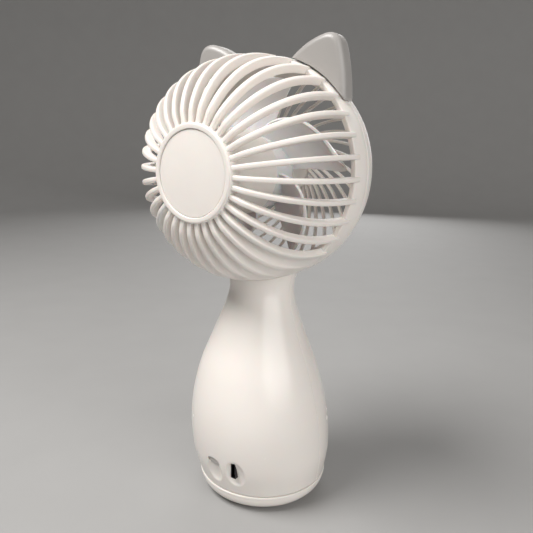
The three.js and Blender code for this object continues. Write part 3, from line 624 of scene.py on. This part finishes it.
def disc_boss():
    """Round end of the dome, with a raised rim around the inset disc."""
    rim = DISC_RADIUS
    recess = rim - DISC_RIM
    floor = CAP_FRONT_Y - GAP
    return turned(filleted([
        (0, floor - 3.5), (rim - 0.6, floor - 3.5, 0.5), (rim, floor - 2, 1), (rim, DISC_Y, 0.8),
        (recess, DISC_Y, 0.35), (recess, floor, 0.2), (recess - 0.8, floor),
        (recess - 0.8, floor - 1.5), (0, floor - 1.5),
    ]), 144)


def neck_stub():
    """Sleeve that carries the head on the handle."""
    inner, outer = NECK_RADIUS - 2, NECK_RADIUS
    low, high = 86, 103.8
    return moved(turned_upright(filleted([
        (inner, low, 0.4), (outer, low, 0.6), (outer, high), (inner, high),
    ], True), 72), y=NECK_Y, z=-HEAD_Z)


def make_rear_grille():
    ribs = [rib(rib_angle(k)) for k in range(RIB_COUNT) if not BELLY_FROM < k < BELLY_TO]
    shape = joined(rear_band(), disc_boss(), neck_stub(), belly(), *ribs)
    piece("rear_cage", on_head(shape), "housing", white_satin, ["rear_grille"])


def make_rear_cap():
    face = CAP_REAR_Y + 0.6
    radius = CAP_RADIUS + GAP / 2
    shape = turned(filleted([
        (0, CAP_FRONT_Y), (radius, CAP_FRONT_Y, 0.2), (radius, face, 0.25), (0, face),
    ]), 144)
    piece("rear_disc", on_head(shape), "housing", white_satin, ["rear_cap"])


# ---------- front half of the cage ----------
def front_ring():
    face = FRONT_FACE_Y
    outer = CAGE_RADIUS
    profile = filleted([
        (outer - BAND_WALL, PARTING_Y - GAP, 0.3), (outer - 0.35, PARTING_Y - GAP, 0.5),
        (outer - 1.1, face + 7.4, 12), (outer - 3, face + 1.6, 3), (outer - 5.7, face, 1.6),
        (outer - 8, face, 0.7), (outer - 8, face + 1.8, 0.6), (outer - 5.2, face + 3.9, 2),
        (outer - 3.8, face + 7.5, 3),
    ], True)
    return turned(profile, 204)


def guard_wire(start):
    """Spiral wire from the hub of the guard out to the front ring."""
    hub, reach = GUARD_HUB, CAGE_RADIUS - 6.6
    sweep = math.radians(46)
    wide, deep, dome = 1.1, 2, 3
    steps = 22
    radius = np.linspace(hub - 1, reach, steps)
    angle = start + sweep * np.log(radius / hub) / math.log(reach / hub)
    y = FRONT_FACE_Y + deep / 2 - dome * (1 - (radius / reach) ** 2)
    line = np.stack([radius * np.cos(angle), y, radius * np.sin(angle)], axis=-1)
    along = np.gradient(line, axis=0)
    along[:, 1] = 0
    along /= np.linalg.norm(along, axis=1, keepdims=True)
    across = np.stack([-along[:, 2], np.zeros(steps), along[:, 0]], axis=-1)
    section = rounded_box(wide, deep, 0.42)
    rings = line[:, None] + across[:, None] * section[None, :, :1]
    rings[:, :, 1] += section[None, :, 1]
    return lofted(rings)


def make_front_grille():
    hub = GUARD_HUB
    front = GUARD_FRONT_Y
    boss = turned(filleted([
        (0, front + 2.4), (hub - 2, front + 2.4, 0.4), (hub, front + 3, 0.3), (hub, front + 0.2, 0.7),
        (hub - 1.9, front + 0.2, 0.3), (hub - 1.9, front + 1.2), (0, front + 1.2),
    ]))
    wires = [guard_wire(k * TURN / GUARD_WIRES) for k in range(GUARD_WIRES)]
    shape = on_head(joined(front_ring(), boss, *wires))
    piece("front_guard", shape, "housing", white_satin, ["front_grille"])


def make_badge():
    radius = span("front_badge")[1].x
    front = GUARD_FRONT_Y
    shape = turned(filleted([
        (0, front + 0.9), (radius, front + 0.9, 0.2), (radius, front - 0.2, 0.5),
        (radius - 1.2, front - 0.7, 0.5), (radius - 2, front - 0.5, 0.5),
        (radius - 2.8, front - 0.8, 0.8), (0, front - 1.1),
    ]))
    piece("front_button_badge", on_head(shape), "housing", grey_satin, ["front_badge"])


# ---------- ears ----------
def curve_between(start, control, stop, steps=24):
    """Arc from start to stop, pulled toward the control point."""
    t = np.linspace(0, 1, steps)[:, None]
    start, control, stop = (np.array(p, float) for p in (start, control, stop))
    return (1 - t) ** 2 * start + 2 * t * (1 - t) * control + t ** 2 * stop


def ear_outline():
    """Rim and foot lines of the right-hand ear, (x, z) about the head axis."""
    foot = CAGE_RADIUS + GAP
    tip_start, tip_end = (-26.2, 52.4), (-35, 47.2)
    line = np.concatenate([
        curve_between((-12.4, 44.4), (-18.6, 50.3), tip_start),
        curve_between(tip_start, (-33.4, 54.4), tip_end)[1:],
        curve_between(tip_end, (-37.5, 38), (-37.7, 28.2))[1:],
    ])
    line = line[np.linalg.norm(line, axis=1) > foot + 0.2]
    first, last = (math.atan2(p[1], p[0]) for p in (line[0], line[-1]))
    arc = np.linspace(last, first, 24)
    arc_points = np.stack([foot * np.cos(arc), foot * np.sin(arc)], axis=-1)
    return line, np.concatenate([line[-1:], arc_points, line[:1]])


def distance_to_line(points, line):
    """Shortest way from each 2-D point to an open line."""
    starts, steps = line[:-1], np.diff(line, axis=0)
    away = points[..., None, :] - starts
    along = np.clip((away * steps).sum(-1) / (steps ** 2).sum(-1), 0, 1)
    return np.linalg.norm(away - along[..., None] * steps, axis=-1).min(-1)


def make_ear(name, side):
    """Cushion-like ear: full round edge to the rear, smaller one to the front, flat foot on the head."""
    low, high = span(name)
    line, foot = ear_outline()
    outline = np.concatenate([line, foot[1:-1]])
    centre = outline.mean(axis=0)
    share = np.sin(np.linspace(0, math.pi / 2, 22))[:, None, None]
    flat = centre + share * (outline - centre)
    to_rim, to_foot = distance_to_line(flat, line), distance_to_line(flat, foot)
    sheets = []
    for y, toward, radius in ((high.y, -1, 2.6), (low.y, 1, 2)):
        drop = edge_drop(to_rim, radius) + edge_drop(to_foot, 0.35)
        sheets.append(np.stack([flat[..., 0] * -side, y + toward * drop, flat[..., 1]], axis=-1))
    rear, front = sheets
    grid = np.concatenate([rear, front[::-1]])
    shape = grid.reshape(-1, 3), grid_faces(*grid.shape[:2], wrap_columns=True)
    piece(name + "_cover", on_head(shape), "housing", grey_satin, [name], 60)


# ---------- motor housing ----------
def make_motor_housing():
    front, rear = HOUSING_FRONT_Y, HOUSING_REAR_Y
    outer, inner = HOUSING_RADIUS, HOUSING_RADIUS - 1.8
    cup = turned(filleted([
        (3.4, front, 0.2), (outer, front, 1.4), (outer, rear, 0.3), (inner, rear, 0.3),
        (inner, front + 2, 1), (3.4, front + 2, 0.2),
    ], True), 128)
    lug_radius, lug_deep, lug_circle = 2.7, 10, 12.9
    lug = turned(filleted([
        (0, rear - lug_deep), (lug_radius, rear - lug_deep, 0.3), (lug_radius, rear, 0.2), (0, rear),
    ]), 24)
    lugs = [moved(lug, x=lug_circle * math.cos(a), z=lug_circle * math.sin(a))
            for a in np.radians([90, 210, 330])]
    shape = on_head(joined(cup, *lugs))
    piece("motor_pod", shape, "housing", white_satin, ["motor_housing"])


# ---------- impeller ----------
def blade(start):
    """Petal with a strongly swept rear edge, rounded tip corners and thin round edges."""
    across, along = 26, 34
    ease = np.sin(np.linspace(-math.pi / 2, math.pi / 2, across + 1)) / 2 + 0.5
    u = np.linspace(0, 1, along + 1) ** 0.85  # from root to tip
    root = HUB_RADIUS - 0.9
    near_tip = np.clip((u - 0.84) / 0.16, 0, 1)
    trim = 0.24 * (1 - np.sqrt(1 - near_tip ** 2))
    u, v = np.meshgrid(u, ease, indexing="ij")
    v = trim[:, None] + v * (1 - 2 * trim[:, None])
    radius = root + (BLADE_TIP_RADIUS - root) * u
    rear_edge = np.radians(18 * u + 46 * u ** 2.2)
    front_edge = np.radians(68 + 4 * u)
    angle = start + rear_edge + (front_edge - rear_edge) * v
    y = 15.5 - 5 * u - 11.5 * v - 1.2 * np.sin(math.pi * v)
    sheet = np.stack([radius * np.cos(angle), y, radius * np.sin(angle)], axis=-1)
    normal = np.cross(np.gradient(sheet, axis=0), np.gradient(sheet, axis=1))
    normal /= np.linalg.norm(normal, axis=2, keepdims=True)
    # rough distance to the nearest edge, over which the sheet thins out
    edge = np.minimum(ease, 1 - ease)[None, :] * 40
    edge = np.minimum(edge, (1 - u) * 46)
    half = BLADE_THICK / 2
    body = half * np.sqrt(1 - (1 - np.clip(edge / half, 0, 1)) ** 2)
    body = np.maximum(body, 0.12)[:, :, None]
    return slab(sheet + normal * body, sheet - normal * body)


def make_impeller():
    wall = 1.6
    front, rear = HUB_FRONT_Y, 17
    outer, inner = HUB_RADIUS, HUB_RADIUS - wall
    floor = front + wall
    sleeve, bore, sleeve_rear = 3, 1.15, 15.6
    hub = turned(filleted([
        (0, front), (outer - 3, front, 2), (outer, front + 2.4, 1.5), (outer, rear, 0.4),
        (inner, rear, 0.4), (inner, front + 3, 1.2), (sleeve, floor, 0.5), (sleeve, sleeve_rear, 0.2),
        (bore, sleeve_rear), (bore, floor), (0, floor),
    ]))
    blades = [blade(BLADE_PHASE + k * TURN / BLADE_COUNT) for k in range(BLADE_COUNT)]
    piece("fan_wheel", on_head(joined(hub, *blades)), "rotor", smoked_blade, ["impeller"])


# ---------- handle ----------
handle_radius = smooth_through(HANDLE_RADII)


def bow(height):
    """How far back the middle of the handle is at a height above the seam."""
    return HANDLE_BOW * np.sin(math.pi * height / HANDLE_BOW_SPAN)


def top_height(angle):
    """Height at which the handle wall meets the head, less the clearance."""
    low, high = np.full(angle.shape, 80.0), np.full(angle.shape, float(HANDLE_HEIGHT))
    for _ in range(40):  # halves the span that holds the answer
        height = (low + high) / 2
        radius = handle_radius(height)
        x, y = radius * np.cos(angle), bow(height) + radius * np.sin(angle)
        clear = np.hypot(x, SEAM_Z + height - HEAD_Z) > head_radius(y) + 0.05
        low, high = np.where(clear, height, low), np.where(clear, high, height)
    return low


def dimple_depth(x, z, at_x, at_z, half_x, half_z):
    """Hollow of an ellipsoid dipped into the wall, with a slightly softened lip."""
    spread = ((x - at_x) / half_x) ** 2 + ((z - at_z) / half_z) ** 2
    depth = 2.6 * np.sqrt(np.clip(1 - spread, 0, 1)) - 1.2
    soft = 0.12
    return (depth + np.sqrt(depth ** 2 + soft ** 2)) / 2 * (spread < 1.2)


def handle_shell(angles, dimples=()):
    """Half of the bottle between two split edges."""
    dense = 28
    fine = np.array([0, 0.06, 0.16, 0.3, 0.45])
    low_rows = np.concatenate([fine, np.linspace(0.9, dense, 62)])
    high_rows = np.concatenate([np.linspace(0, 1, 60)[1:-1], 1 - fine[::-1] / 70])
    top = top_height(angles)
    height = np.concatenate([
        np.repeat(low_rows[:, None], len(angles), axis=1),
        dense + (top - dense)[None, :] * high_rows[:, None],
    ])
    angle = np.broadcast_to(angles, height.shape)
    radius = handle_radius(height)
    to_split = np.minimum(angle - angles[0], angles[-1] - angle) * radius
    inset = edge_drop(to_split, 0.2) + edge_drop(height, 0.4) + edge_drop(top[None, :] - height, 0.35)
    x = radius * np.cos(angle)
    for hollow in dimples:
        inset = inset + dimple_depth(x, SEAM_Z + height, *hollow)
    grids = []
    for offset in (inset, HANDLE_WALL):
        r = radius - offset
        y = bow(height) + r * np.sin(angle)
        grids.append(np.stack([r * np.cos(angle), y, SEAM_Z + height], axis=-1))
    return slab(*grids)


def split_angles(side, dense_from=None, dense_to=None):
    """Column angles of one shell, closer together near its split edges and over the sockets."""
    clearance = 0.06 / handle_radius(40)
    fine = np.array([0, 0.05, 0.12, 0.2, 0.5]) / 30
    start = 0 if side > 0 else math.pi
    first, last = start + clearance, start + math.pi - clearance
    stops = [np.linspace(first + 0.04, last - 0.04, 100)]
    if dense_from is not None:
        stops = [
            np.linspace(first + 0.04, dense_from, 34),
            np.linspace(dense_from, dense_to, 84)[1:],
            np.linspace(dense_to, last - 0.04, 34)[1:],
        ]
    return np.concatenate([first + fine, *stops, last - fine[::-1]])


def make_rear_handle():
    hollows = [(PORT.x - 1, PORT.z - 1.6, 5, 7.3), (LENS.x, LENS.z - 4.6, 4.8, 7.1)]
    angles = split_angles(1, math.radians(70), math.radians(115))
    obj = piece("handle_rear", handle_shell(angles, hollows), "housing", white_gloss,
                ["handle_rear_shell"])
    port_hole = rounded_box(PORT_WIDTH, PORT_HEIGHT, 0.4)
    lens_hole = ellipse(LENS_HALF_X + GAP, LENS_HALF_Z + GAP)
    for outline, at in ((port_hole, PORT), (lens_hole, LENS)):
        x, z = at.x + outline[:, 0], at.z + outline[:, 1]
        through_wall = [np.stack([x, np.full(len(outline), y), z], axis=-1) for y in (26, 40)]
        cut_out(obj, lofted(through_wall))


def make_lens():
    """Window over the charge light: its face leans with the wall of the hollow."""
    margin = 0.15
    face_y, lean_x, lean_z = 33.45, -0.1, 0.16
    x, z = ellipse(LENS_HALF_X + margin, LENS_HALF_Z + margin).T
    rings = [np.stack([LENS.x + x, np.full(len(x), span("indicator_lens")[0].y), LENS.z + z], axis=-1)]
    for share, drop in ((1, 0.25), (0.96, 0.07), (0.9, 0)):
        y = face_y + lean_z * share * z + lean_x * share * x - drop
        rings.append(np.stack([LENS.x + share * x, y, LENS.z + share * z], axis=-1))
    piece("charge_window", lofted(rings), "housing", frosted_lens, ["indicator_lens"])


def button_place():
    """Frame of the power button: local +Z points out of the handle."""
    heights = BUTTON_HEIGHT + np.array([-0.5, 0, 0.5])
    below, here, above = (float(y) for y in bow(heights) - handle_radius(heights))
    tilt = math.atan2(above - below, 1)
    place = Matrix.Rotation(math.pi / 2 - tilt, 3, "X")
    return np.array(place), np.array([0, here, SEAM_Z + BUTTON_HEIGHT])


def at_button(shape):
    turn, origin = button_place()
    points, faces = shape
    return points @ turn.T + origin, faces


def make_front_handle():
    obj = piece("handle_front", handle_shell(split_angles(-1)), "housing", white_gloss,
                ["handle_front_shell"])
    hole_radius, reach = BUTTON_RADIUS + GAP, 6
    hole = [(0, -reach), (hole_radius, -reach), (hole_radius, reach), (0, reach)]
    cut_out(obj, at_button(turned_upright(hole, 72)))


def make_button():
    rim, top = BUTTON_RADIUS, 0.8
    flange, flange_low, flange_high = rim + 0.9, -4.8, -3.9
    stem, stem_low = 1.6, -5.5
    shape = turned_upright(filleted([
        (0, stem_low), (stem, stem_low, 0.2), (stem, flange_low, 0.2), (flange, flange_low, 0.2),
        (flange, flange_high, 0.2), (rim, flange_high), (rim, top, 0.7), (rim - 1.4, top, 0.6),
        (rim - 2, top - 0.35, 2), (0, top - 0.45),
    ]), 72)
    piece("power_key", at_button(shape), "button", grey_satin, ["power_button"])


# ---------- base ----------
def make_base():
    top = SEAM_Z - GAP
    bottom = BASE_BOTTOM_Z
    lip = top - 1.2
    floor = FOOT_TOP_Z + GAP
    pocket = FOOT_RADIUS + GAP
    under_lip = BASE_RADIUS - 0.25
    corner = 8
    side = []
    for a in np.linspace(0, math.pi / 2, 14)[:-1]:
        out, rise = 1 - math.sin(a), 1 - math.cos(a)
        side.append((under_lip - corner * out, bottom + (lip - bottom) * rise))
    tongue, inside = 27.5, 26
    shape = turned_upright(filleted([
        (0, floor), (pocket, floor, 0.2), (pocket, bottom, 0.3), *side,
        (under_lip, lip, 0.1), (BASE_RADIUS, lip + 0.2, 0.15), (BASE_RADIUS, top, 0.4),
        (tongue, top, 0.2), (tongue, top + 3.3, 0.4), (inside, top + 3.3, 0.4),
        (inside, floor + 2, 2.5), (0, floor + 2),
    ]), 160)
    piece("base_cup", shape, "housing", white_gloss, ["base_cap"])


def make_foot():
    bottom = span("foot_pad")[0].z
    hollow = bottom + 0.15
    shape = turned_upright(filleted([
        (0, hollow), (FOOT_RADIUS - 3.2, hollow, 0.2), (FOOT_RADIUS - 2.8, bottom, 0.2),
        (FOOT_RADIUS, bottom, 0.5), (FOOT_RADIUS, FOOT_TOP_Z, 0.2), (0, FOOT_TOP_Z),
    ]))
    piece("foot_ring_pad", shape, "housing", rubber, ["foot_pad"])


# ---------- nodes that keep their own mesh ----------
# look and edge rounding for each material slot, then the nodes that differ from their slot
NODE_LOOKS = {
    "steel": (steel, 0.15),
    "bronze": (bronze, 0.2),
    "black_plastic": (black_plastic, 0.15),
    "board": (board_green, 0.1),
    "cell_wrap": (cell_wrap, 0.6),
    "cradle": (cradle_plastic, 0.2),
    "lens": (frosted_lens, 0.25),
    "lead_red": (red_cover, 0),
    "lead_black": (black_cover, 0),
}
# the charging port gets the near-black metal, painted shade for the inside of its slot
NODE_EXCEPTIONS = {"indicator_led": led_resin, "usb_port": port_metal_painted_shade}


def dress_nodes():
    for part in frame["record"]["subparts"]:
        look, edge = NODE_LOOKS.get(part["material_slot"], (None, 0))
        obj = frame["nodes"][part["node"]]
        if look is None or obj.hide_render:
            continue
        for slot in obj.material_slots:
            slot.material = NODE_EXCEPTIONS.get(part["node"], look)
        if edge:
            soften(obj, edge)


# ---------- stage ----------
def make_floor():
    """Round pale floor that curves up into a wall on all sides."""
    flat, bend, wall = 1100, 500, 1600
    profile = filleted([(0, 0), (flat + bend, 0, bend), (flat + bend, wall)], steps=24)
    obj = bpy.data.objects.new("floor", new_mesh("floor", turned_upright(profile, 96), 60))
    look = Look("floor_paper")
    look.colour(look.blend(look.noise(40, 4), (0.33, 0.327, 0.322), (0.355, 0.351, 0.346)))
    look.bump(look.noise(1.5, 3), 0.02, 0.3)
    look.constants(Roughness=0.7)
    obj.data.materials.append(look.material)
    bpy.context.scene.collection.objects.link(obj)


def camera_frame():
    """Right, up and back directions of the camera."""
    azimuth, elevation, roll = (math.radians(a) for a in (214.13, 12.97, 1.16))
    back = Vector((
        math.sin(azimuth) * math.cos(elevation),
        -math.cos(azimuth) * math.cos(elevation),
        math.sin(elevation),
    ))
    level = Vector((0, 0, 1)).cross(back).normalized()
    up = back.cross(level)
    right = level * math.cos(roll) + up * math.sin(roll)
    return right, back.cross(right), back


def make_camera():
    right, up, back = camera_frame()
    target = Vector((0, 0, 0.1063))
    distance = 0.2419
    data = bpy.data.cameras.new("camera")
    data.sensor_width = 36
    data.lens = 36
    data.clip_start = 0.01
    obj = bpy.data.objects.new("camera", data)
    place = Matrix((right, up, back)).transposed().to_4x4()
    place.translation = target + back * distance
    obj.matrix_world = place
    bpy.context.scene.collection.objects.link(obj)
    bpy.context.scene.camera = obj


def soft_light(name, direction, distance, size, power, colour=(1, 1, 1)):
    """Round lamp aimed at the fan; its direction is (right, up, back) as the camera sees it."""
    right, up, back = camera_frame()
    aim = Vector((0, 0, 0.12))
    way = (right * direction[0] + up * direction[1] + back * direction[2]).normalized()
    data = bpy.data.lights.new(name, "AREA")
    data.shape = "DISK"
    data.size = size
    data.energy = power
    data.color = colour
    obj = bpy.data.objects.new(name, data)
    obj.location = aim + way * distance
    obj.rotation_euler = way.to_track_quat("Z", "Y").to_euler()
    bpy.context.scene.collection.objects.link(obj)


def make_lights():
    soft_light("key", (-0.6, 0.9, 0.5), 0.8, 0.45, 8.6, (1, 0.985, 0.97))
    soft_light("fill", (0.7, 0.1, 1), 1.2, 1.2, 10.4, (1, 0.99, 0.98))
    soft_light("far_side", (0.2, 0.6, -1), 1.0, 0.8, 2.8)
    world = bpy.data.worlds.new("room")
    world.use_nodes = True
    background = world.node_tree.nodes["Background"]
    background.inputs["Color"].default_value = (1, 0.955, 0.91, 1)
    background.inputs["Strength"].default_value = 0.25
    bpy.context.scene.world = world
    bpy.context.scene.view_settings.view_transform = "Standard"


make_rear_grille()
make_rear_cap()
make_front_grille()
make_badge()
make_ear("ear_left", 1)
make_ear("ear_right", -1)
make_motor_housing()
make_impeller()
make_rear_handle()
make_lens()
make_front_handle()
make_button()
make_base()
make_foot()
dress_nodes()
make_floor()
make_camera()
make_lights()

bpy.context.view_layer.update()
